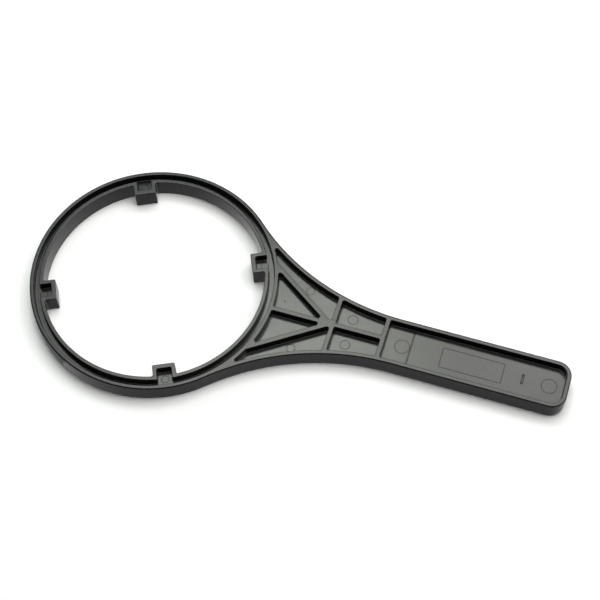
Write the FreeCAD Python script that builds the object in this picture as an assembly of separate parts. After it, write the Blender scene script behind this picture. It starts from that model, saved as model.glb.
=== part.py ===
# Ring wrench for the sump of a water-filter housing: a ring with four inner lugs, a braced
# flare and a flat handle. The real object is one injection-moulded piece with an H-shaped
# section everywhere: a thin web at half height, and walls and ribs that stand above and below it.
# It is built here from the members of that moulding, which meet face to face.
# Millimetres. Origin: the ring's axis on the bottom rims. +X along the handle, +Z up.
import FreeCAD, Part
import math
import os
from FreeCAD import Vector

# What the ring goes over, and the room it leaves
housing_rib_radius = 58.9
ring_clearance = 0.6
housing_body_radius = 52.0
lug_clearance = 0.7

# Whole moulding
body_height = 11.3
web_thickness = 1.9
draft_angle = 1.0
rim_edge_radius = 0.5

# Ring
inner_wall_thickness = 2.05
groove_width = 3.05
outer_wall_thickness = 2.1

# Lugs
lug_count = 4
first_lug_angle = 25.3
lug_width = 11.9
lug_wall_thickness = 2.1
lug_tip_thickness = 2.4

# Handle and its perimeter wall
handle_reach = 226.4
handle_width = 26.8
handle_wall_thickness = 2.3
handle_corner_radius = 8.0

# Flare between the ring and the handle
flank_radius = 131.5
flank_start_gap = 3.0
pocket_tip_width = 1.7
rib_thickness = 2.5
diagonal_rib_thickness = 2.6
inner_cross_rib_x = 100.0
outer_cross_rib_x = 127.5
diagonal_rib_foot_x = 98.6
diagonal_rib_angle = 34.3

# Worked out from the sizes above
half_height = body_height / 2
web_top = half_height + web_thickness / 2
web_bottom = half_height - web_thickness / 2
pocket_depth = body_height - web_top
draft_slope = math.tan(math.radians(draft_angle))
wall_growth = half_height * draft_slope
bore_radius = housing_rib_radius + ring_clearance
lug_tip_radius = housing_body_radius + lug_clearance
groove_inner_radius = bore_radius + inner_wall_thickness
groove_outer_radius = groove_inner_radius + groove_width
ring_radius = groove_outer_radius + outer_wall_thickness
half_width = handle_width / 2
flank_centre_y = half_width + flank_radius
flank_centre_x = math.sqrt((ring_radius + flank_radius) ** 2 - flank_centre_y ** 2)

up = Vector(0, 0, 1)


def rounded_section(thickness, round_outside, round_inside):
    """Section of a wall in the XZ plane: outer rim line at x = 0, wall towards -X.

    Both faces lean out to half height, where the two mould halves part. The rims' edges are
    rounded on the sides that hands and housings touch.
    """
    r = rim_edge_radius
    lean = draft_slope * r
    bend = r * (1 - math.sqrt(0.5))
    outside = outline_side(0.0, 1, round_outside, r, lean, bend)
    inside = outline_side(-thickness, -1, round_inside, r, lean, bend)
    edges = outside + inside
    edges.append(Part.makeLine(end_point(outside), end_point(inside)))
    edges.append(Part.makeLine(start_point(outside), start_point(inside)))
    wire = Part.Wire(Part.__sortEdges__(edges))
    return Part.Face(wire)


def outline_side(rim_x, way, rounded, r, lean, bend):
    """One side of a wall section from the bottom rim to the top rim; way is 1 or -1."""
    middle = Vector(rim_x + way * wall_growth, 0, half_height)
    if not rounded:
        low = Vector(rim_x, 0, 0)
        high = Vector(rim_x, 0, body_height)
        return [Part.makeLine(low, middle), Part.makeLine(middle, high)]
    low_rim = Vector(rim_x - way * r, 0, 0)
    low_bend = Vector(rim_x - way * bend, 0, bend)
    low_side = Vector(rim_x + way * lean, 0, r)
    high_side = Vector(rim_x + way * lean, 0, body_height - r)
    high_bend = Vector(rim_x - way * bend, 0, body_height - bend)
    high_rim = Vector(rim_x - way * r, 0, body_height)
    return [
        Part.Arc(low_rim, low_bend, low_side).toShape(),
        Part.makeLine(low_side, middle),
        Part.makeLine(middle, high_side),
        Part.Arc(high_side, high_bend, high_rim).toShape(),
    ]


def start_point(edges):
    return edges[0].valueAt(edges[0].FirstParameter)


def end_point(edges):
    return edges[-1].valueAt(edges[-1].LastParameter)


def placed(section, point, outward_angle):
    """A copy of a section whose outer side faces outward_angle, with its rim line at point."""
    copy = section.copy()
    copy.rotate(Vector(0, 0, 0), up, outward_angle)
    copy.translate(point)
    return copy


def polar(radius, angle, centre=Vector(0, 0, 0)):
    a = math.radians(angle)
    return centre + Vector(radius * math.cos(a), radius * math.sin(a), 0)


def swept_round(section, centre, radius, start, sweep, concave=False):
    """A wall swept about a vertical axis; concave when the outside faces that axis."""
    outward = start + 180 if concave else start
    face = placed(section, polar(radius, start, centre), outward)
    return face.revolve(centre, up, sweep)


def turned_full(section, radius):
    return placed(section, Vector(radius, 0, 0), 0).revolve(Vector(0, 0, 0), up, 360)


def mirrored_y(shape):
    return shape.mirror(Vector(0, 0, 0), Vector(0, 1, 0))


def block(x_low, x_high, y_low, y_high, z_low, z_high):
    size = (x_high - x_low, y_high - y_low, z_high - z_low)
    return Part.makeBox(*size, Vector(x_low, y_low, z_low))


def prism(points, direction):
    return Part.Face(Part.makePolygon(points + [points[0]])).extrude(direction)


def ring_disc():
    """Everything inside the ring's outer face: what stands against the ring is cut by it."""
    section = rounded_section(ring_radius, False, False)
    disc = turned_full(section, ring_radius)
    core = Part.makeCylinder(ring_radius / 2, body_height)
    return disc.fuse(core)


def make_ring_outer_wall():
    section = rounded_section(outer_wall_thickness, True, False)
    return turned_full(section, ring_radius)


def whole_inner_wall():
    section = rounded_section(inner_wall_thickness, False, True)
    return turned_full(section, groove_inner_radius)


def make_ring_inner_wall():
    """Four arcs: the wall stops at each lug, whose sides take it inwards."""
    wall = whole_inner_wall()
    for index in range(lug_count):
        wall = wall.cut(lug_block(index))
    return wall


def make_ring_web():
    inner = bore_radius + inner_wall_thickness / 2
    outer = ring_radius - outer_wall_thickness / 2
    low = Vector(0, 0, web_bottom)
    web = Part.makeCylinder(outer, web_thickness, low)
    web = web.cut(Part.makeCylinder(inner, web_thickness, low))
    return web.cut(whole_inner_wall()).cut(make_ring_outer_wall())


def tapered_block(x_low, x_high, half_y, z_rim, z_base, low_grows, high_grows):
    """A block that widens from z_rim to z_base by the draft, on the chosen X ends and both Y sides."""
    grow = abs(z_base - z_rim) * draft_slope
    rim_x = (x_low, x_high)
    base_x = (x_low - grow * low_grows, x_high + grow * high_grows)
    wide = half_y + abs(grow)
    along = prism(
        [Vector(rim_x[0], -wide, z_rim), Vector(rim_x[1], -wide, z_rim),
         Vector(base_x[1], -wide, z_base), Vector(base_x[0], -wide, z_base)],
        Vector(0, 2 * wide, 0))
    left = min(rim_x[0], base_x[0])
    right = max(rim_x[1], base_x[1])
    across = prism(
        [Vector(left, -half_y, z_rim), Vector(left, half_y, z_rim),
         Vector(left, half_y + grow, z_base), Vector(left, -half_y - grow, z_base)],
        Vector(right - left, 0, 0))
    return along.common(across)


def lug_block(index):
    """The lug without its pocket, from the tip out past the inner wall."""
    far = groove_inner_radius + groove_width
    upper = tapered_block(lug_tip_radius, far, lug_width / 2, body_height, half_height, 1, 0)
    lower = tapered_block(lug_tip_radius, far, lug_width / 2, 0.0, half_height, 1, 0)
    whole = upper.fuse(lower)
    whole.rotate(Vector(0, 0, 0), up, lug_angle(index))
    return whole


def lug_angle(index):
    return first_lug_angle + index * 360.0 / lug_count


def lug_pocket(index, z_rim, z_floor):
    """The pocket, wide at the rim and narrower at the floor."""
    near = lug_tip_radius + lug_tip_thickness
    far = groove_inner_radius + groove_width
    half = lug_width / 2 - lug_wall_thickness
    narrow = abs(z_rim - z_floor) * draft_slope
    pocket = tapered_block(near + narrow, far, half - narrow, z_floor, z_rim, 1, 0)
    pocket.rotate(Vector(0, 0, 0), up, lug_angle(index))
    return pocket


def make_lug(index):
    """A U-shaped lug: tip wall, two side walls and a floor, open to the ring's groove."""
    section = rounded_section(groove_inner_radius / 2, False, False)
    inside_groove = turned_full(section, groove_inner_radius)
    lug = lug_block(index).common(inside_groove)
    lug = lug.cut(lug_pocket(index, body_height, web_top))
    return lug.cut(lug_pocket(index, 0.0, web_bottom))


def flank_centre():
    return Vector(flank_centre_x, flank_centre_y, 0)


def flank_ring_angle():
    """Direction from the flank's centre to the ring's axis, where the two arcs touch."""
    return math.degrees(math.atan2(-flank_centre_y, -flank_centre_x))


def pocket_tip_angle():
    """Direction from the flank's centre to the tip of the outer pocket.

    There the ring stands off the flank by the wall's thickness and the pocket tip's width.
    """
    reach = flank_radius + handle_wall_thickness + pocket_tip_width
    apart = flank_radius + ring_radius
    cosine = (reach ** 2 + apart ** 2 - ring_radius ** 2) / (2 * reach * apart)
    return flank_ring_angle() + math.degrees(math.acos(cosine))


def make_left_gusset():
    """Solid corner where the flank runs into the ring."""
    depth = handle_wall_thickness + outer_wall_thickness + groove_width + pocket_tip_width
    section = rounded_section(depth, True, False)
    start = flank_ring_angle() + math.degrees(flank_start_gap / flank_radius)
    sweep = pocket_tip_angle() - start
    solid = swept_round(section, flank_centre(), flank_radius, start, sweep, concave=True)
    return solid.cut(ring_disc())


def make_left_flank_wall():
    section = rounded_section(handle_wall_thickness, True, False)
    start = pocket_tip_angle()
    return swept_round(section, flank_centre(), flank_radius, start, -90 - start, concave=True)


def make_handle_wall():
    """Two straight sides, two rounded corners and the end, in one run."""
    section = rounded_section(handle_wall_thickness, True, False)
    corner_x = handle_reach - handle_corner_radius
    corner_y = half_width - handle_corner_radius
    side_run = Vector(corner_x - flank_centre_x, 0, 0)
    left = placed(section, Vector(flank_centre_x, half_width, 0), 90).extrude(side_run)
    right = placed(section, Vector(flank_centre_x, -half_width, 0), -90).extrude(side_run)
    end = placed(section, Vector(handle_reach, -corner_y, 0), 0).extrude(Vector(0, 2 * corner_y, 0))
    left_corner = swept_round(section, Vector(corner_x, corner_y, 0), handle_corner_radius, 0, 90)
    right_corner = swept_round(section, Vector(corner_x, -corner_y, 0), handle_corner_radius, -90, 90)
    return left.multiFuse([left_corner, end, right_corner, right]).removeSplitter()


def inside_perimeter(z_low, z_high):
    """A plate from the ring to the handle's end, out to the middle of the perimeter wall."""
    inset = handle_wall_thickness / 2
    side = half_width - inset
    corner = handle_corner_radius - inset
    corner_x = handle_reach - handle_corner_radius
    corner_y = half_width - handle_corner_radius
    arc_radius = flank_radius + inset
    start = pocket_tip_angle()
    left_tip = polar(arc_radius, start, flank_centre())
    left_middle = polar(arc_radius, (start - 90) / 2, flank_centre())
    left_end = Vector(flank_centre_x, side, 0)
    bend = corner * math.sqrt(0.5)
    half_outline = [
        Part.Arc(left_tip, left_middle, left_end).toShape(),
        Part.makeLine(left_end, Vector(corner_x, side, 0)),
        Part.Arc(Vector(corner_x, side, 0), Vector(corner_x + bend, corner_y + bend, 0),
                 Vector(corner_x + corner, corner_y, 0)).toShape(),
        Part.makeLine(Vector(corner_x + corner, corner_y, 0), Vector(corner_x + corner, 0, 0)),
    ]
    other_half = [mirrored_y(edge) for edge in half_outline]
    ring_side = Part.makeLine(left_tip, Vector(left_tip.x, -left_tip.y, 0))
    wire = Part.Wire(Part.__sortEdges__(half_outline + other_half + [ring_side]))
    plate = Part.Face(wire).extrude(Vector(0, 0, z_high - z_low))
    plate.translate(Vector(0, 0, z_low))
    return plate


def bounded_web(x_low, x_high, walls):
    slab = block(x_low, x_high, -ring_radius, ring_radius, web_bottom, web_top)
    web = inside_perimeter(web_bottom, web_top).common(slab)
    for wall in walls:
        web = web.cut(wall)
    return web


def rib_pair(x_low, x_high, thickness):
    """A rib along X on each face of the web, thicker at the web by the draft."""
    upper = tapered_block(x_low, x_high, thickness / 2, body_height, web_top, 0, 0)
    lower = tapered_block(x_low, x_high, thickness / 2, 0.0, web_bottom, 0, 0)
    return Part.makeCompound([upper, lower])


def trimmed(pair, cutters):
    """Both ribs of a pair, each cut by its neighbours."""
    solids = []
    for rib in pair.Solids:
        for cutter in cutters:
            rib = rib.cut(cutter)
        solids.extend(rib.Solids)
    return Part.makeCompound(solids)


def make_spine_rib():
    end = outer_cross_rib_x - rib_thickness / 2 - pocket_depth * draft_slope
    return trimmed(rib_pair(ring_radius / 2, end, rib_thickness), [ring_disc(), make_outer_cross_rib()])


def cross_rib(x_middle):
    """A rib from flank to flank on each face of the web."""
    pair = rib_pair(-ring_radius, ring_radius, rib_thickness)
    pair.rotate(Vector(0, 0, 0), up, 90)
    pair.translate(Vector(x_middle, 0, 0))
    return pair


def between_flanks(pair):
    """Cuts a pair of ribs off inside the two flank walls."""
    room = inside_perimeter(0, body_height)
    kept = Part.makeCompound([rib.common(room) for rib in pair.Solids])
    return trimmed(kept, [make_left_flank_wall(), mirrored_y(make_left_flank_wall())])


def make_outer_cross_rib():
    return between_flanks(cross_rib(outer_cross_rib_x))


def make_inner_cross_rib():
    return trimmed(between_flanks(cross_rib(inner_cross_rib_x)), [make_spine_rib()])


def make_left_diagonal_rib():
    """From a foot on the spine, next to the inner cross rib, out to the ring."""
    pair = rib_pair(-diagonal_rib_foot_x, 0, diagonal_rib_thickness)
    pair.rotate(Vector(0, 0, 0), up, -diagonal_rib_angle)
    pair.translate(Vector(diagonal_rib_foot_x, 0, 0))
    cutters = [ring_disc(), make_spine_rib(), make_inner_cross_rib()]
    pair = trimmed(pair, cutters)
    left_side = block(0, inner_cross_rib_x, 0, ring_radius, 0, body_height)
    return Part.makeCompound([rib.common(left_side) for rib in pair.Solids])


def build():
    left_wall = make_left_flank_wall()
    left_gusset = make_left_gusset()
    handle_wall = make_handle_wall()
    perimeter = [ring_disc(), left_wall, mirrored_y(left_wall), left_gusset, mirrored_y(left_gusset)]
    diagonal = make_left_diagonal_rib()
    nodes = {
        "ring_outer_wall": make_ring_outer_wall(),
        "ring_inner_wall": make_ring_inner_wall(),
        "ring_web": make_ring_web(),
        "left_flank_wall": left_wall,
        "right_flank_wall": mirrored_y(left_wall),
        "left_gusset": left_gusset,
        "right_gusset": mirrored_y(left_gusset),
        "handle_wall": handle_wall,
        "flare_web": bounded_web(0, outer_cross_rib_x, perimeter),
        "handle_web": bounded_web(outer_cross_rib_x, handle_reach, perimeter + [handle_wall]),
        "spine_rib": make_spine_rib(),
        "inner_cross_rib": make_inner_cross_rib(),
        "outer_cross_rib": make_outer_cross_rib(),
        "left_diagonal_rib": diagonal,
        "right_diagonal_rib": mirrored_y(diagonal),
    }
    for index in range(lug_count):
        nodes["lug_%d" % (index + 1)] = make_lug(index)
    return nodes


os.makedirs("parts", exist_ok=True)
for name, shape in build().items():
    shape.exportStep("parts/%s.step" % name)
    print(name, len(shape.Solids), "solids", round(shape.Volume, 1), "mm3", shape.isValid())
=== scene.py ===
import bmesh
import bpy
import math
from mathutils import Matrix, Vector


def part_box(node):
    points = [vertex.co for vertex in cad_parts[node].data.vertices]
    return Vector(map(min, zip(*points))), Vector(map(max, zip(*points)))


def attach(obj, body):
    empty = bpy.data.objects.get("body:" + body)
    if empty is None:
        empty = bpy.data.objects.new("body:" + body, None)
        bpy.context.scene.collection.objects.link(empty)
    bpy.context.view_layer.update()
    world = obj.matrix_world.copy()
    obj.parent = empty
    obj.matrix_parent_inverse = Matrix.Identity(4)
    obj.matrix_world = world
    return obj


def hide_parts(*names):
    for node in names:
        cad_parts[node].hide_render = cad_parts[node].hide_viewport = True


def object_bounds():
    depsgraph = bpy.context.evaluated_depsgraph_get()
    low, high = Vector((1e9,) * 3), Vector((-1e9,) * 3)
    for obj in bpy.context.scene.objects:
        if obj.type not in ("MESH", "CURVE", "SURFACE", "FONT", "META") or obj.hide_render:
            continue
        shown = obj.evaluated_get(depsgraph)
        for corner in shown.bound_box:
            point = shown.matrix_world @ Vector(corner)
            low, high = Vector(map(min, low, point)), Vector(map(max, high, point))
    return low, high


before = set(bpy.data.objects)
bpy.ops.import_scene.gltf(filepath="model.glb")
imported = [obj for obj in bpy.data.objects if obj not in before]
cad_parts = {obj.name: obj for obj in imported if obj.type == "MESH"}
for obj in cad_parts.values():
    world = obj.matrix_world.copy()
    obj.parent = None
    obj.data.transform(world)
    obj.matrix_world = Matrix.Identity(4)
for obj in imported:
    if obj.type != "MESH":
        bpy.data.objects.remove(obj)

CAD_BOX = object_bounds()


# ---- Camera -------------------------------------------------------------------------------
# It stands in front of the wrench and to the right of the ring, and looks down at it steeply,
# with the ring on the left and the handle running away to the lower right.
CAMERA_PLACE = (0.201295, -0.336856, 0.690764)
CAMERA_RIGHT = (0.95402675, 0.29910944, -0.01914405)
CAMERA_UP = (-0.25469784, 0.84272869, 0.47427561)
CAMERA_BACK = (0.15799355, -0.44759568, 0.88016825)
CAMERA_LENS_MM = 87.385

camera_data = bpy.data.cameras.new("camera")
camera_data.sensor_width = 36.0
camera_data.lens = CAMERA_LENS_MM
camera_data.clip_start = 0.01
camera_data.clip_end = 20.0
camera = bpy.data.objects.new("camera", camera_data)
bpy.context.scene.collection.objects.link(camera)
turn = Matrix((CAMERA_RIGHT, CAMERA_UP, CAMERA_BACK)).transposed().to_4x4()
camera.matrix_world = Matrix.Translation(CAMERA_PLACE) @ turn
bpy.context.scene.camera = camera


# ---- Floor and lights ---------------------------------------------------------------------
# A plain white table, lit until it is blank. Flat plastic mirrors the big softbox and the
# bright spot towards the camera; the other boxes light the table and the rounded edges.
# Reflections leave the table out, and a glow from below the horizon stands in for it.
FLOOR_HALF = 6.0
FLOOR_WHITE = (0.96, 0.96, 0.96, 1.0)

floor_data = bpy.data.meshes.new("floor")
corners = [(x * FLOOR_HALF, y * FLOOR_HALF, 0.0) for x, y in ((-1, -1), (1, -1), (1, 1), (-1, 1))]
floor_data.from_pydata(corners, [], [(0, 1, 2, 3)])
floor = bpy.data.objects.new("floor", floor_data)
bpy.context.scene.collection.objects.link(floor)
floor_finish = bpy.data.materials.new("table_white")
floor_finish.use_nodes = True
floor_shader = floor_finish.node_tree.nodes["Principled BSDF"]
floor_shader.inputs["Base Color"].default_value = FLOOR_WHITE
floor_shader.inputs["Roughness"].default_value = 0.9
floor_shader.inputs["Specular IOR Level"].default_value = 0.1
floor_data.materials.append(floor_finish)
floor.visible_glossy = False


def softbox(name, place, aim, width, height, watts, colour):
    """A rectangular area light at place that faces aim."""
    light = bpy.data.lights.new(name, "AREA")
    light.shape = "RECTANGLE"
    light.size = width
    light.size_y = height
    light.energy = watts
    light.color = colour
    holder = bpy.data.objects.new(name, light)
    holder.location = place
    holder.rotation_euler = (Vector(aim) - Vector(place)).to_track_quat("-Z", "Y").to_euler()
    bpy.context.scene.collection.objects.link(holder)
    return holder


TABLE_MIDDLE = (0.08, 0.0, 0.0)
MIRRORED_MIDDLE = (0.11, -0.03, 0.0)
WHITE = (1.0, 1.0, 1.0)
GREENISH = (0.97, 1.0, 0.93)
BLUISH = (0.92, 0.97, 1.0)

softbox("big_softbox", (-0.02, 0.30, 1.22), TABLE_MIDDLE, 0.74, 0.72, 6.6, GREENISH)
softbox("bright_spot", (-0.13, 0.57, 1.20), MIRRORED_MIDDLE, 0.30, 0.25, 1.2, GREENISH)
softbox("dim_left_edge", (-0.50, 0.55, 1.10), (-0.05, 0.0, 0.0), 0.40, 0.50, 0.4, BLUISH)
softbox("top_softbox", (0.08, -0.05, 1.35), TABLE_MIDDLE, 0.75, 0.60, 4.8, WHITE)
softbox("right_softbox", (0.813, 0.304, 1.092), TABLE_MIDDLE, 0.8, 0.8, 6.6, WHITE)
softbox("back_right_softbox", (0.384, 0.733, 1.092), TABLE_MIDDLE, 0.4, 0.4, 2.6, WHITE)
softbox("back_left_softbox", (-0.437, 0.896, 0.868), TABLE_MIDDLE, 0.5, 0.5, 2.2, BLUISH)
softbox("left_softbox", (-0.816, 0.517, 0.868), TABLE_MIDDLE, 0.5, 0.5, 2.2, BLUISH)


class Amount:
    """A number on a node's socket. Sums written with it add Math nodes to the socket's tree."""

    def __init__(self, tree, socket):
        self.tree = tree
        self.socket = socket

    def maths(self, operation, first, second=0.0):
        made = add_node(
            self.tree, "ShaderNodeMath", {"operation": operation}, {0: first, 1: second})
        return Amount(self.tree, made.outputs[0])

    def __add__(self, other):
        return self.maths("ADD", self, other)

    def __radd__(self, other):
        return self.maths("ADD", other, self)

    def __sub__(self, other):
        return self.maths("SUBTRACT", self, other)

    def __rsub__(self, other):
        return self.maths("SUBTRACT", other, self)

    def __mul__(self, other):
        return self.maths("MULTIPLY", self, other)

    def __rmul__(self, other):
        return self.maths("MULTIPLY", other, self)

    def __truediv__(self, other):
        return self.maths("DIVIDE", self, other)

    def __rtruediv__(self, other):
        return self.maths("DIVIDE", other, self)

    def __neg__(self):
        return self.maths("MULTIPLY", self, -1.0)

    def __abs__(self):
        return self.maths("ABSOLUTE", self)


def add_node(tree, kind, settings=None, inputs=None):
    """A new node: its settings first, then a value or a link for each socket named."""
    made = tree.nodes.new(kind)
    for name, value in (settings or {}).items():
        setattr(made, name, value)
    for name, value in (inputs or {}).items():
        if isinstance(value, Amount):
            value = value.socket
        if isinstance(value, bpy.types.NodeSocket):
            tree.links.new(value, made.inputs[name])
        else:
            made.inputs[name].default_value = value
    return made


def ramp(tree, source, stops):
    """A colour ramp over source, from a list of (place, grey) stops."""
    made = add_node(tree, "ShaderNodeValToRGB", None, {"Fac": source})
    band = made.color_ramp
    while len(band.elements) < len(stops):
        band.elements.new(0.5)
    for element, (place, grey) in zip(band.elements, stops):
        element.position = place
        element.color = (grey, grey, grey, 1.0)
    return Amount(tree, made.outputs["Color"])


# The glow's strength from level (0) to straight down (1), and at the near and the far side
GLOW_STOPS = ((0.0, 0.0), (0.60, 0.0), (0.84, 1.0), (0.91, 0.45), (1.0, 0.3))
NEAR_SIDE = -0.47
FAR_SIDE = 0.16
NEAR_GLOW = 0.48
FAR_GLOW = 0.95

surroundings = bpy.data.worlds.new("studio")
surroundings.use_nodes = True
sky = surroundings.node_tree
backdrop = sky.nodes["Background"]
direction = add_node(sky, "ShaderNodeTexCoord").outputs["Generated"]
towards = add_node(sky, "ShaderNodeSeparateXYZ", None, {0: direction})
down = -Amount(sky, towards.outputs["Z"])
table_glow = ramp(sky, down, GLOW_STOPS)
away = add_node(sky, "ShaderNodeMapRange", None, {
    "Value": towards.outputs["Y"], "From Min": NEAR_SIDE, "From Max": FAR_SIDE,
    "To Min": NEAR_GLOW, "To Max": FAR_GLOW})
glow = table_glow * Amount(sky, away.outputs[0])
sky.links.new(glow.socket, backdrop.inputs["Strength"])
backdrop.inputs["Color"].default_value = (1.0, 1.0, 1.0, 1.0)
bpy.context.scene.world = surroundings
bpy.context.scene.view_settings.view_transform = "Standard"


# ---- Painted shade: a glowing card beside the ring ----------------------------------------
# A band of card lies on the table along the left front of the ring and glows dimly.
# Only reflections show it. Its glow is painted shade: it stands in for a table in shade
# and keeps the ring's left side darker.
CARD_INNER = 0.0655
CARD_OUTER = 0.14
CARD_FROM = -172
CARD_TO = -118
CARD_STEP = 6
CARD_RISE = 0.0003
CARD_GLOW = 0.25

card_corners = []
for degrees in range(CARD_FROM, CARD_TO + 1, CARD_STEP):
    angle = math.radians(degrees)
    card_corners.append((CARD_INNER * math.cos(angle), CARD_INNER * math.sin(angle), CARD_RISE))
for degrees in range(CARD_TO, CARD_FROM - 1, -CARD_STEP):
    angle = math.radians(degrees)
    card_corners.append((CARD_OUTER * math.cos(angle), CARD_OUTER * math.sin(angle), CARD_RISE))
card_mesh = bpy.data.meshes.new("grey_card")
card_mesh.from_pydata(card_corners, [], [tuple(range(len(card_corners)))])
card = bpy.data.objects.new("grey_card", card_mesh)
bpy.context.scene.collection.objects.link(card)
grey = bpy.data.materials.new("grey_card")
grey.use_nodes = True
grey_shader = grey.node_tree.nodes["Principled BSDF"]
grey_shader.inputs["Base Color"].default_value = (0.0, 0.0, 0.0, 1.0)
grey_shader.inputs["Roughness"].default_value = 1.0
grey_shader.inputs["Specular IOR Level"].default_value = 0.0
# The card's dim glow is painted shade, which the ring's left side reflects in place of a shaded table
grey_shader.inputs["Emission Color"].default_value = (1.0, 1.0, 1.0, 1.0)
grey_shader.inputs["Emission Strength"].default_value = CARD_GLOW
card_mesh.materials.append(grey)
card.visible_camera = False
card.visible_diffuse = False
card.visible_shadow = False


# ---- Black moulded plastic ----------------------------------------------------------------
# The whole wrench is one injection moulding in black polypropylene. The mould's faces are
# lightly blasted, so the plastic is satin, with faint flow marks and fine rubbed scratches.
# The rims are handled most and are a little duller than the rest.
PLASTIC_BLACK = (0.0045, 0.0048, 0.0045, 1.0)
PLASTIC_RUBBED = (0.020, 0.021, 0.020, 1.0)
PLASTIC_ROUGHNESS = 0.14
RIM_DULLING = 0.06
PLASTIC_IOR = 1.5
RELIEF_STRENGTH = 0.06
RELIEF_DEPTH = 0.00025
MIDDLE_HEIGHT = CAD_BOX[1][2] / 2
SCRATCH_STOPS = ((0.0, 0.0), (0.70, 0.0), (0.78, 1.0))
RIM_STOPS = ((0.0, 0.0), (0.80, 0.0), (0.95, 1.0))

# Noise scales in cycles a metre, with their detail; a stretched one has a scale for each axis
GRAIN = (2600.0, 2.0)
MOTTLE = (240.0, 3.0)
CLOUD = (26.0, 4.0)
FLOW_STRETCH = (22.0, 190.0, 190.0)
FLOW_DETAIL = 3.0
SCRATCH_STRETCH = (35.0, 1900.0, 900.0)
SCRATCH_TURN = (0.0, 0.0, 0.7)
SCRATCH_DETAIL = 1.0


def noise(tree, place, scale, detail):
    """A cloudy number from 0 to 1 that changes with place."""
    made = add_node(
        tree, "ShaderNodeTexNoise", None, {"Vector": place, "Scale": scale, "Detail": detail})
    return Amount(tree, made.outputs[0])


def black_plastic(name):
    """The one finish of the wrench."""
    finish = bpy.data.materials.new(name)
    finish.use_nodes = True
    tree = finish.node_tree
    shader = tree.nodes["Principled BSDF"]
    place = add_node(tree, "ShaderNodeTexCoord").outputs["Object"]
    flow_space = add_node(tree, "ShaderNodeMapping", None, {"Vector": place, "Scale": FLOW_STRETCH})
    rub_space = add_node(
        tree, "ShaderNodeMapping", None,
        {"Vector": place, "Rotation": SCRATCH_TURN, "Scale": SCRATCH_STRETCH})
    grain = noise(tree, place, *GRAIN)
    mottle = noise(tree, place, *MOTTLE)
    cloud = noise(tree, place, *CLOUD)
    flow = noise(tree, flow_space.outputs[0], 1.0, FLOW_DETAIL)
    rub = noise(tree, rub_space.outputs[0], 1.0, SCRATCH_DETAIL)
    scratches = ramp(tree, rub, SCRATCH_STOPS)
    worn = add_node(
        tree, "ShaderNodeMix", {"data_type": "RGBA"},
        {"Factor": 0.25 * cloud + 0.30 * scratches, 6: PLASTIC_BLACK, 7: PLASTIC_RUBBED})
    tree.links.new(worn.outputs[2], shader.inputs["Base Color"])
    rise = Amount(tree, add_node(tree, "ShaderNodeSeparateXYZ", None, {"Vector": place}).outputs[2])
    from_middle = abs(rise / MIDDLE_HEIGHT - 1.0)
    rim = ramp(tree, from_middle, RIM_STOPS)
    roughness = PLASTIC_ROUGHNESS + RIM_DULLING * rim
    roughness = roughness + 0.06 * cloud + 0.05 * mottle + 0.03 * flow - 0.02 * scratches
    tree.links.new(roughness.socket, shader.inputs["Roughness"])
    shader.inputs["IOR"].default_value = PLASTIC_IOR
    height = 0.25 * grain + 0.5 * mottle + 0.3 * flow - 0.3 * scratches
    relief = add_node(
        tree, "ShaderNodeBump", None,
        {"Strength": RELIEF_STRENGTH, "Distance": RELIEF_DEPTH, "Height": height})
    tree.links.new(relief.outputs[0], shader.inputs["Normal"])
    return finish


plastic = black_plastic("moulded_plastic")


# ---- Ring, flare and handle walls ---------------------------------------------------------
# The moulding has an H-shaped section everywhere: a web at half height, and walls and ribs
# above and below it. Each wall leans by the mould's draft, has rounded rims and a filleted
# foot. The outline of each pocket, and of the outside, is drawn once and the wall follows it.
MM = 0.001
BOX_HIGH = CAD_BOX[1]
HEIGHT = BOX_HIGH[2]
WEB_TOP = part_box("ring_web")[1][2]
DRAFT = math.tan(math.radians(1.0))
SIDE_GROWTH = HEIGHT / 2 * DRAFT
POCKET_GROWTH = (HEIGHT - WEB_TOP) * DRAFT
RING_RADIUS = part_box("ring_outer_wall")[1][0] - SIDE_GROWTH
GROOVE_OUTER = RING_RADIUS - 2.1 * MM
GROOVE_INNER = GROOVE_OUTER - 3.05 * MM
BORE_RADIUS = GROOVE_INNER - 2.05 * MM
SIDE_ROUNDING = 0.70 * MM
POCKET_ROUNDING = 0.35 * MM
BORE_ROUNDING = 0.30 * MM
FOOT_FILLET = 0.28 * MM
CREASE_ANGLE = math.radians(26.0)
PARTING_REACH = 0.02 * MM
WELD_DISTANCE = 0.005 * MM

LUG_COUNT = 4
FIRST_LUG = math.radians(25.3)
LUG_HALF = 5.95 * MM
LUG_TIP = 52.7 * MM
LUG_WALL = 2.1 * MM
LUG_TIP_WALL = 2.4 * MM

HANDLE_END = BOX_HIGH[0] - SIDE_GROWTH
HANDLE_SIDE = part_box("handle_wall")[1][1] - SIDE_GROWTH
HANDLE_CORNER = 8.0 * MM
HANDLE_WALL = 2.3 * MM
FLANK_RADIUS = 131.5 * MM
FLANK_Y = HANDLE_SIDE + FLANK_RADIUS
FLANK_X = math.sqrt((RING_RADIUS + FLANK_RADIUS) ** 2 - FLANK_Y ** 2)
SPINE_HALF = 1.25 * MM
CROSS_HALF = 1.25 * MM
DIAGONAL_HALF = 1.3 * MM
DIAGONAL_FOOT = 98.6 * MM
DIAGONAL_ANGLE = math.radians(34.3)
INNER_CROSS = sum(corner[0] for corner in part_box("inner_cross_rib")) / 2
OUTER_CROSS = sum(corner[0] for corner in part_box("outer_cross_rib")) / 2
POCKET_CORNER = 1.0 * MM
POCKET_TIP_RADIUS = 0.85 * MM
LUG_CORNER = 0.75 * MM
LUG_ROOT_CORNER = 1.0 * MM
LUG_POCKET_CORNER = 0.9 * MM
LUG_POCKET_MOUTH = 0.6 * MM

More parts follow.
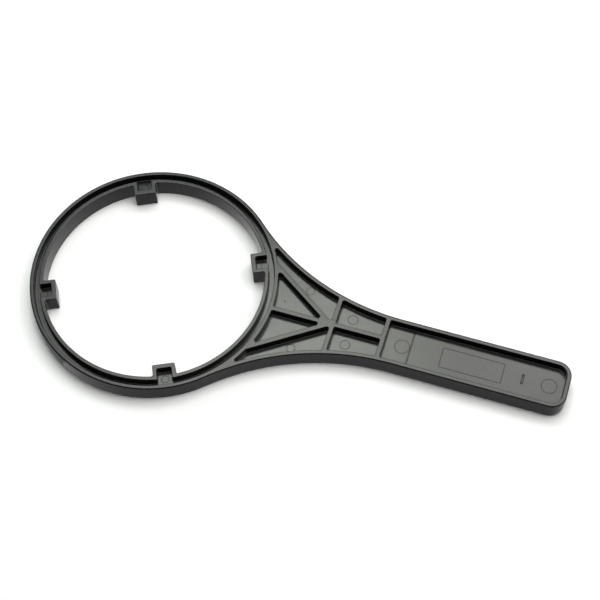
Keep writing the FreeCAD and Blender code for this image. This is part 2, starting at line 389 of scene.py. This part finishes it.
# Distances between an outline's points, and numbers of points on whole circles
STRAIGHT_STEP = 5 * MM
FLANK_STEP = 1.6 * MM
HANDLE_CORNER_STEP = 0.5 * MM
CORNER_STEP = 0.22 * MM
OUTSIDE_POINTS = 256
GROOVE_POINTS = 240
JOINT_POINTS = 180
PIN_POINTS = 40
FLANK_GAP = 0.01


class Straight:
    """A straight side of a pocket, through a point; the pocket lies towards inward."""

    def __init__(self, point, inward):
        self.point = Vector(point)
        self.inward = Vector(inward).normalized()

    def distance(self, place):
        return (place - self.point).dot(self.inward)

    def slope(self, place):
        return self.inward

    def run(self, start, end):
        """Points between start and end, both left out."""
        count = int((end - start).length / STRAIGHT_STEP) + 1
        return [start.lerp(end, step / count) for step in range(1, count)]


class Round:
    """A side of a pocket on an arc; way is 1 with the pocket outside the arc, -1 inside."""

    def __init__(self, centre, radius, way):
        self.centre = Vector(centre)
        self.radius = radius
        self.way = way

    def distance(self, place):
        return self.way * ((place - self.centre).length - self.radius)

    def slope(self, place):
        return self.way * (place - self.centre).normalized()

    def run(self, start, end):
        """Points between start and end, both left out."""
        return arc_points(self.centre, start, end, FLANK_STEP)[1:-1]


def arc_points(centre, start, end, step):
    """Points on the shorter arc about centre from start to end, both kept."""
    first = start - centre
    angle = first.angle_signed(end - centre)
    count = max(3, int(abs(angle) * first.length / step) + 1)
    turned = []
    for index in range(count + 1):
        spin = Matrix.Rotation(-angle * index / count, 2)
        turned.append(centre + spin @ first)
    return turned


def corner_centre(one, other, guess, radius):
    """Where a circle of this radius touches both sides, found from a rough place."""
    place = Vector(guess)
    for _ in range(20):
        a = one.slope(place)
        b = other.slope(place)
        miss = Vector((radius - one.distance(place), radius - other.distance(place)))
        place = place + Matrix((a, b)).inverted() @ miss
    return place


def rounded_outline(sides, guesses, radii):
    """Closed outline along sides in turn; corner i lies between side i and side i + 1."""
    count = len(sides)
    corners = []
    for index in range(count):
        following = sides[(index + 1) % count]
        centre = corner_centre(sides[index], following, guesses[index], radii[index])
        start = centre - sides[index].slope(centre) * radii[index]
        end = centre - following.slope(centre) * radii[index]
        corners.append((centre, start, end))
    points = []
    for index in range(count):
        centre, start, end = corners[index]
        points += arc_points(centre, start, end, CORNER_STEP)
        points += sides[(index + 1) % count].run(end, corners[(index + 1) % count][1])
    return points


def flipped(points):
    """The same outline on the other side of the handle's middle line."""
    return [Vector((point.x, -point.y)) for point in points]


def turned_way(points, counterclockwise):
    """The outline in the wanted direction. Open space is on the right of the direction."""
    following = points[1:] + points[:1]
    area = sum(a.x * b.y - b.x * a.y for a, b in zip(points, following))
    if (area > 0) == counterclockwise:
        return points
    return points[::-1]


def circle_outline(radius, count):
    """A whole circle about the ring's axis."""
    angles = [2 * math.pi * index / count for index in range(count)]
    return [Vector((radius * math.cos(angle), radius * math.sin(angle))) for angle in angles]


flank_centre = Vector((FLANK_X, FLANK_Y))
flank_end = Vector((FLANK_X, HANDLE_SIDE))
inner_flank = Round(flank_centre, FLANK_RADIUS + HANDLE_WALL, 1)
ring_outside = Round((0.0, 0.0), RING_RADIUS, 1)
diagonal_out = Vector((math.sin(DIAGONAL_ANGLE), math.cos(DIAGONAL_ANGLE)))
diagonal_foot = Vector((DIAGONAL_FOOT, 0.0))
diagonal_upper = Straight(diagonal_foot + diagonal_out * DIAGONAL_HALF, diagonal_out)
diagonal_lower = Straight(diagonal_foot - diagonal_out * DIAGONAL_HALF, -diagonal_out)
spine_side = Straight((0.0, SPINE_HALF), (0.0, 1.0))
inner_cross_ring_side = Straight((INNER_CROSS - CROSS_HALF, 0.0), (-1.0, 0.0))
inner_cross_handle_side = Straight((INNER_CROSS + CROSS_HALF, 0.0), (1.0, 0.0))
outer_cross_ring_side = Straight((OUTER_CROSS - CROSS_HALF, 0.0), (-1.0, 0.0))
outer_cross_handle_side = Straight((OUTER_CROSS + CROSS_HALF, 0.0), (1.0, 0.0))

left_pockets = [
    rounded_outline(
        [ring_outside, inner_flank, inner_cross_ring_side, diagonal_upper],
        [(0.059, 0.034), (0.098, 0.016), (0.098, 0.003), (0.062, 0.027)],
        [POCKET_TIP_RADIUS, POCKET_CORNER, POCKET_CORNER, POCKET_CORNER]),
    rounded_outline(
        [ring_outside, diagonal_lower, spine_side],
        [(0.065, 0.021), (0.094, 0.002), (0.068, 0.002)],
        [POCKET_CORNER] * 3),
    rounded_outline(
        [inner_cross_handle_side, inner_flank, outer_cross_ring_side, spine_side],
        [(0.102, 0.015), (0.126, 0.011), (0.126, 0.002), (0.102, 0.002)],
        [POCKET_CORNER] * 4),
]


def handle_side_run(inset):
    """The flank's straight continuation and the rounded corner, inset from the outside."""
    corner = Vector((HANDLE_END - HANDLE_CORNER, HANDLE_SIDE - HANDLE_CORNER))
    radius = HANDLE_CORNER - inset
    start = Vector((FLANK_X, HANDLE_SIDE - inset))
    bend = corner + Vector((0.0, radius))
    straight = Straight(start, (0.0, -1.0))
    return [start] + straight.run(start, bend) + arc_points(
        corner, bend, corner + Vector((radius, 0.0)), HANDLE_CORNER_STEP)


def both_sides(left_half):
    """A closed outline from its left half, which starts and ends off the middle line."""
    return left_half + flipped(left_half)[::-1]


cross_corner = corner_centre(outer_cross_handle_side, inner_flank, (0.130, 0.010), POCKET_CORNER)
on_cross = cross_corner - Vector((POCKET_CORNER, 0.0))
on_flank = cross_corner - inner_flank.slope(cross_corner) * POCKET_CORNER
handle_pocket = both_sides(
    arc_points(cross_corner, on_cross, on_flank, CORNER_STEP)
    + inner_flank.run(on_flank, flank_end - Vector((0.0, HANDLE_WALL)))
    + handle_side_run(HANDLE_WALL))

ring_to_flank = flank_centre * RING_RADIUS / flank_centre.length
half_points = OUTSIDE_POINTS // 2
ring_angles = [math.pi * (1 - (step + 0.5) / half_points) for step in range(half_points)]
flank_angle = math.atan2(FLANK_Y, FLANK_X) + FLANK_GAP
ring_angles = [angle for angle in ring_angles if angle > flank_angle]
outside = both_sides(
    [RING_RADIUS * Vector((math.cos(angle), math.sin(angle))) for angle in ring_angles]
    + [ring_to_flank]
    + Round(flank_centre, FLANK_RADIUS, 1).run(ring_to_flank, flank_end)
    + handle_side_run(0.0))


def lugged_circle(radius, way, half_width, tip, corner, mouth):
    """The bore with its lugs, or the groove with the lugs' pockets: a circle and four U bends."""
    sides = []
    guesses = []
    radii = []
    for index in range(LUG_COUNT):
        spin = Matrix.Rotation(FIRST_LUG + 2 * math.pi * index / LUG_COUNT, 2)
        low = Straight(spin @ Vector((0.0, -half_width)), spin @ Vector((0.0, -way)))
        end = Straight(spin @ Vector((tip, 0.0)), spin @ Vector((-way, 0.0)))
        high = Straight(spin @ Vector((0.0, half_width)), spin @ Vector((0.0, way)))
        sides += [Round((0.0, 0.0), radius, -way), low, end, high]
        for x, side in ((radius, -1), (tip, -1), (tip, 1), (radius, 1)):
            guesses.append(spin @ Vector((x, side * half_width)))
        radii += [mouth, corner, corner, mouth]
    return rounded_outline(sides, guesses, radii)


bore = lugged_circle(BORE_RADIUS, 1, LUG_HALF, LUG_TIP, -LUG_CORNER, LUG_ROOT_CORNER)
groove = lugged_circle(
    GROOVE_INNER, -1, LUG_HALF - LUG_WALL, LUG_TIP + LUG_TIP_WALL,
    LUG_POCKET_CORNER, -LUG_POCKET_MOUTH)


def outline_curve(name, outlines):
    """Closed outlines as one curve object, level with the floor."""
    drawn = bpy.data.curves.new(name, "CURVE")
    drawn.dimensions = "3D"
    for points in outlines:
        spline = drawn.splines.new("POLY")
        spline.points.add(len(points) - 1)
        for target, point in zip(spline.points, points):
            target.co = (point.x, point.y, 0.0, 1.0)
        spline.use_cyclic_u = True
    holder = bpy.data.objects.new(name, drawn)
    bpy.context.scene.collection.objects.link(holder)
    return holder


WALL_SIZES = (
    "Height", "Web top", "Side rounding", "Pocket rounding", "Foot fillet", "Side growth",
    "Pocket growth", "Mark half", "Mark depth")


def wall_tree():
    """Sweeps a wall's section along every outline, and fills the rims and the floors between."""
    tree = bpy.data.node_groups.new("moulded_walls", "GeometryNodeTree")
    face = tree.interface
    face.new_socket("Geometry", in_out="INPUT", socket_type="NodeSocketGeometry")
    for name in ("Pockets", "Joint", "Marks"):
        face.new_socket(name, in_out="INPUT", socket_type="NodeSocketObject")
    for name in WALL_SIZES:
        face.new_socket(name, in_out="INPUT", socket_type="NodeSocketFloat")
    face.new_socket("Material", in_out="INPUT", socket_type="NodeSocketMaterial")
    face.new_socket("Geometry", in_out="OUTPUT", socket_type="NodeSocketGeometry")
    given = tree.nodes.new("NodeGroupInput").outputs
    sizes = [Amount(tree, given[name]) for name in WALL_SIZES]
    height, web_top, side_round, pocket_round, foot = sizes[:5]
    side_growth, pocket_growth, mark_half, mark_depth = sizes[5:]

    def make(kind, settings=None, inputs=None):
        return add_node(tree, kind, settings, inputs)

    def spot(x, y, z=0.0):
        return make("ShaderNodeCombineXYZ", None, {0: x, 1: y, 2: z}).outputs[0]

    def joined(*parts):
        made = make("GeometryNodeJoinGeometry")
        for part in parts:
            tree.links.new(part, made.inputs[0])
        return made.outputs[0]

    def placed(part, x, y, z=0.0):
        made = make("GeometryNodeTransform", None, {"Geometry": part, "Translation": spot(x, y, z)})
        return made.outputs[0]

    def quarter(radius, start, x, y):
        arc = make("GeometryNodeCurveArc", {"mode": "RADIUS"},
                   {"Resolution": 6, "Radius": radius, "Start Angle": start, "Sweep Angle": math.pi / 2})
        return placed(arc.outputs[0], x, y)

    def line(x_start, y_start, x_end, y_end):
        return make("GeometryNodeCurvePrimitiveLine", None,
                    {"Start": spot(x_start, y_start), "End": spot(x_end, y_end)}).outputs[0]

    def upright(curve):
        return make("GeometryNodeSetCurveNormal", {"mode": "Z_UP"}, {"Curve": curve}).outputs[0]

    def moved(curve, outward):
        aside = make("ShaderNodeVectorMath", {"operation": "SCALE"},
                     {0: make("GeometryNodeInputNormal").outputs[0], "Scale": outward})
        return make("GeometryNodeSetPosition", None,
                    {"Geometry": curve, "Offset": aside.outputs[0]}).outputs[0]

    def swept(curve, profile):
        made = make("GeometryNodeCurveToMesh", None, {"Curve": curve, "Profile Curve": profile})
        return made.outputs[0]

    def filled(level, *curves):
        flat = make("GeometryNodeFillCurve", {"mode": "TRIANGLES"}, {"Curve": joined(*curves)})
        return placed(flat.outputs[0], 0.0, 0.0, level)

    def drawn(name):
        info = make(
            "GeometryNodeObjectInfo", {"transform_space": "ORIGINAL"}, {"Object": given[name]})
        return upright(info.outputs["Geometry"])

    sides = upright(given["Geometry"])
    pockets = drawn("Pockets")
    joint = drawn("Joint")
    marks = drawn("Marks")
    side_wall = joined(
        quarter(side_round, -math.pi / 2, -side_round, side_round - height),
        line(0.0, side_round - height, side_growth, height * -0.5))
    pocket_wall = joined(
        quarter(pocket_round, -math.pi / 2, -pocket_round, pocket_round - height),
        line(0.0, pocket_round - height, pocket_growth, -web_top - foot),
        make("GeometryNodeReverseCurve", None, {
            "Curve": quarter(foot, math.pi / 2, pocket_growth + foot, -web_top - foot)}).outputs[0])
    half = joined(
        swept(sides, side_wall),
        swept(pockets, pocket_wall),
        swept(joint, line(0.0, -web_top, 0.0, height * -0.5)),
        filled(height, moved(sides, -side_round), moved(pockets, -pocket_round)))
    floor_edge = moved(pockets, pocket_growth + foot)
    mark_groove = joined(
        line(-mark_half, -web_top, 0.0, mark_depth - web_top),
        line(0.0, mark_depth - web_top, mark_half, -web_top))
    marked_floor = joined(
        filled(web_top, floor_edge, joint, moved(marks, mark_half), moved(marks, -mark_half)),
        swept(marks, mark_groove))
    under = make("GeometryNodeTransform", None, {
        "Geometry": joined(half, filled(web_top, floor_edge, joint)),
        "Translation": spot(0.0, 0.0, height), "Scale": (1.0, 1.0, -1.0)})
    under = make("GeometryNodeFlipFaces", None, {"Mesh": under.outputs[0]})
    welded = make("GeometryNodeMergeByDistance", None,
                  {"Geometry": joined(half, marked_floor, under.outputs[0]), "Distance": WELD_DISTANCE})
    real = make("GeometryNodeRealizeInstances", None, {"Geometry": welded.outputs[0]})
    smooth = make("GeometryNodeSetShadeSmooth", None, {"Geometry": real.outputs[0]})
    level = make("ShaderNodeSeparateXYZ", None, {0: make("GeometryNodeInputPosition").outputs[0]})
    from_parting = abs(Amount(tree, level.outputs[2]) - height * 0.5)
    on_parting = make("FunctionNodeCompare", {"data_type": "FLOAT", "operation": "LESS_THAN"},
                      {0: from_parting, 1: PARTING_REACH})
    bent = make("FunctionNodeCompare", {"data_type": "FLOAT", "operation": "GREATER_THAN"},
                {0: make("GeometryNodeInputMeshEdgeAngle").outputs[0], 1: CREASE_ANGLE})
    crease = make("FunctionNodeBooleanMath", {"operation": "OR"},
                  {0: on_parting.outputs[0], 1: bent.outputs[0]})
    creased = make("GeometryNodeSetShadeSmooth", {"domain": "EDGE"}, {
        "Geometry": smooth.outputs[0], "Selection": crease.outputs[0], "Shade Smooth": False})
    painted = make("GeometryNodeSetMaterial", None,
                   {"Geometry": creased.outputs[0], "Material": given["Material"]})
    tree.links.new(painted.outputs[0], tree.nodes.new("NodeGroupOutput").inputs[0])
    return tree


def set_inputs(modifier, values):
    """Sets a tree's named inputs, each by its socket's identifier."""
    for item in modifier.node_group.interface.items_tree:
        if item.name in values:
            modifier[item.identifier] = values[item.name]


def plain_mesh(holder, name):
    """The evaluated object as a plain mesh object of its own; the holder is removed."""
    graph = bpy.context.evaluated_depsgraph_get()
    mesh = bpy.data.meshes.new_from_object(holder.evaluated_get(graph))
    mesh.name = name
    piece = bpy.data.objects.new(name, mesh)
    bpy.context.scene.collection.objects.link(piece)
    bpy.data.objects.remove(holder)
    return piece


walls = wall_tree()


def walled(name, sides, pockets, joint, marks, side_rounding):
    """A piece from its outlines: outer sides, pockets, the joint to its neighbour and floor marks."""
    holder = outline_curve(name + "_sides", sides)
    pocket_holder = outline_curve(name + "_pockets", pockets)
    joint_holder = outline_curve(name + "_joint", joint)
    mark_holder = outline_curve(name + "_marks", marks)
    modifier = holder.modifiers.new("walls", "NODES")
    modifier.node_group = walls
    set_inputs(modifier, {
        "Pockets": pocket_holder, "Joint": joint_holder, "Marks": mark_holder,
        "Height": HEIGHT, "Web top": WEB_TOP, "Mark half": MARK_HALF, "Mark depth": MARK_DEPTH,
        "Side rounding": side_rounding, "Pocket rounding": POCKET_ROUNDING,
        "Foot fillet": FOOT_FILLET, "Side growth": SIDE_GROWTH,
        "Pocket growth": POCKET_GROWTH, "Material": plastic})
    piece = plain_mesh(holder, name)
    even = piece.modifiers.new("even_flats", "WEIGHTED_NORMAL")
    even.keep_sharp = True
    for drawing in (pocket_holder, joint_holder, mark_holder):
        bpy.data.objects.remove(drawing)
    return piece


def circle_at(x, y, radius):
    """A round mark on a floor, where an ejector pin stood."""
    return [Vector((x, y)) + point for point in circle_outline(radius, PIN_POINTS)]


def rectangle_at(x, y, half_length, half_width, corner):
    """A rectangular mark on a floor, where a steel insert stood in the mould."""
    turns = [(x + half_length, y + half_width), (x - half_length, y + half_width),
             (x - half_length, y - half_width), (x + half_length, y - half_width)]
    sides = [Straight(turns[index], inward) for index, inward in enumerate(
        ((-1.0, 0.0), (0.0, -1.0), (1.0, 0.0), (0.0, 1.0)))]
    return rounded_outline(sides, turns, [corner] * 4)


MARK_HALF = 0.14 * MM
MARK_DEPTH = 0.10 * MM

# Millimetres: x, y and radius of each pin; x, y, two half sizes and corner of the two others
PIN_MARKS = (
    (82.4, 17.7, 2.2), (82.4, -17.7, 2.2), (109.0, 7.7, 2.6), (109.0, -7.7, 2.6),
    (138.0, 0.0, 3.9), (216.5, 0.0, 4.0), (71.0, 7.9, 0.3))
INSERT_MARK = (175.5, 0.0, 16.5, 5.7, 0.5)
STEP_MARK = (142.5, 0.0, 0.27, 10.3, 0.22)

LUG_PIN_PLACE = 59.7 * MM
LUG_PIN_RADIUS = 2.0 * MM

floor_marks = [circle_at(*(size * MM for size in mark)) for mark in PIN_MARKS]
floor_marks += [rectangle_at(*(size * MM for size in mark)) for mark in (INSERT_MARK, STEP_MARK)]
lug_marks = []
for index in range(LUG_COUNT):
    spin = Matrix.Rotation(FIRST_LUG + 2 * math.pi * index / LUG_COUNT, 2)
    place = spin @ Vector((LUG_PIN_PLACE, 0.0))
    lug_marks.append(circle_at(place.x, place.y, LUG_PIN_RADIUS))

joint_circle = circle_outline((GROOVE_INNER + GROOVE_OUTER) / 2, JOINT_POINTS)
frame_walls = walled(
    "ring_flare_and_handle",
    [turned_way(outside, True)],
    [turned_way(points, False) for points in
     left_pockets + [flipped(points) for points in left_pockets]
     + [handle_pocket, circle_outline(GROOVE_OUTER, GROOVE_POINTS)]],
    [turned_way(joint_circle, False)],
    floor_marks, SIDE_ROUNDING)
inner_ring = walled(
    "inner_ring_and_lugs",
    [turned_way(bore, False)],
    [turned_way(groove, True)],
    [turned_way(joint_circle, True)],
    lug_marks, BORE_ROUNDING)
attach(frame_walls, "root")
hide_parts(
    "ring_outer_wall", "ring_web", "left_gusset", "right_gusset",
    "left_flank_wall", "right_flank_wall", "flare_web", "spine_rib", "left_diagonal_rib",
    "right_diagonal_rib", "inner_cross_rib", "outer_cross_rib", "handle_web", "handle_wall")
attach(inner_ring, "root")
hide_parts("ring_inner_wall", "lug_1", "lug_2", "lug_3", "lug_4")


# ---- Raised bar on the handle floor -------------------------------------------------------
# A short half-round bar stands across the handle's floor near its end. It is a pocket milled
# in the mould, so it is part of the same plastic; its foot is sunk a little into the floor.
BAR_PLACE = (202.5 * MM, 0.0)
BAR_LENGTH = 5.8 * MM
BAR_HALF_WIDTH = 0.65 * MM
BAR_RISE = 0.45 * MM
BAR_SUNK = 0.15 * MM
BAR_STEPS = 8

# Places along the bar as shares of its length, and its size there as a share of the full one
BAR_SECTIONS = ((-0.5, 0.45), (-0.47, 0.8), (-0.42, 1.0), (0.42, 1.0), (0.47, 0.8), (0.5, 0.45))

bar_shape = bmesh.new()
rings = []
for along, shrink in BAR_SECTIONS:
    y = BAR_PLACE[1] + along * BAR_LENGTH
    half_width = BAR_HALF_WIDTH * shrink
    ring = []
    for side in (-1, 1):
        foot = (BAR_PLACE[0] + side * half_width, y, WEB_TOP - BAR_SUNK)
        ring.append(bar_shape.verts.new(foot))
    for step in range(BAR_STEPS + 1):
        angle = math.pi * step / BAR_STEPS
        x = BAR_PLACE[0] + half_width * math.cos(angle)
        z = WEB_TOP + BAR_RISE * shrink * math.sin(angle)
        ring.append(bar_shape.verts.new((x, y, z)))
    rings.append(ring)
for ring, following in zip(rings, rings[1:]):
    for index in range(len(ring)):
        behind = index - 1
        bar_shape.faces.new((ring[behind], ring[index], following[index], following[behind]))
bar_shape.faces.new(rings[0][::-1])
bar_shape.faces.new(rings[-1])
bmesh.ops.recalc_face_normals(bar_shape, faces=bar_shape.faces)
for face in bar_shape.faces:
    face.smooth = True
bar_mesh = bpy.data.meshes.new("floor_bar")
bar_shape.to_mesh(bar_mesh)
bar_shape.free()
bar_mesh.materials.append(plastic)
floor_bar = bpy.data.objects.new("floor_bar", bar_mesh)
bpy.context.scene.collection.objects.link(floor_bar)
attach(floor_bar, "root")
